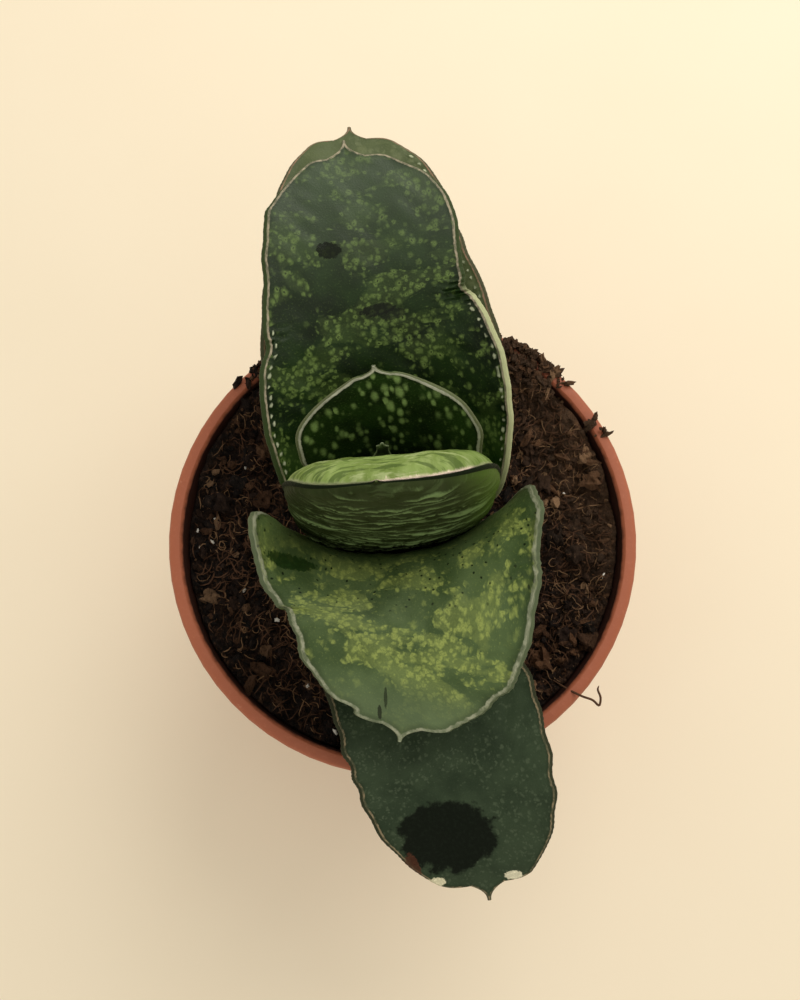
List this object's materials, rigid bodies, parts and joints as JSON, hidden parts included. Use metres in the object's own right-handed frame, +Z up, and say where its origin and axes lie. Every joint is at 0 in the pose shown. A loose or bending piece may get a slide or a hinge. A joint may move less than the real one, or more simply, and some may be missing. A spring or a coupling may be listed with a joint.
{
  "type": "gasteria in a pot",
  "caption": "Potted gasteria: thick tongue-shaped spotted leaves in two opposite rows, rooted in peat soil in a round tapered plastic pot with drainage holes",
  "frame": {"origin": "centre of the flat disc under the pot, on the surface it stands on", "axes": "+Z up along the pot's axis; +Y towards the largest leaf; -Y towards the lowest leaf, which hangs over the rim"},
  "size_m": [0.12, 0.1895, 0.1542],
  "materials": {
    "pot_plastic": "matt moulded terracotta-coloured plastic",
    "peat": "moist clodded peat with white grains and fibres",
    "root_skin": "dull fibrous root skin",
    "leaf_old_front": "dull dark blue-green leaf skin with faint pale specks",
    "leaf_old_back": "dull grey-green leaf skin",
    "leaf_front": "satin green leaf skin with pale cross bands",
    "leaf_big": "satin dark green leaf skin with pale spots in bands",
    "leaf_thick": "satin wrinkled leaf skin, light above and dark in front",
    "leaf_inner": "satin blackish green leaf skin with round pale spots",
    "leaf_tip": "satin leaf skin with pale margins"
  },
  "bodies": {
    "root": {"pot": "pot_plastic", "soil": "peat", "stem": "root_skin", "leaf_1_lower": "leaf_old_front", "leaf_2_back": "leaf_old_back", "leaf_3_front": "leaf_front", "leaf_4_big": "leaf_big", "leaf_5_thick": "leaf_thick", "leaf_6_inner": "leaf_inner", "leaf_7_tip": "leaf_tip"}
  },
  "joints": []
}
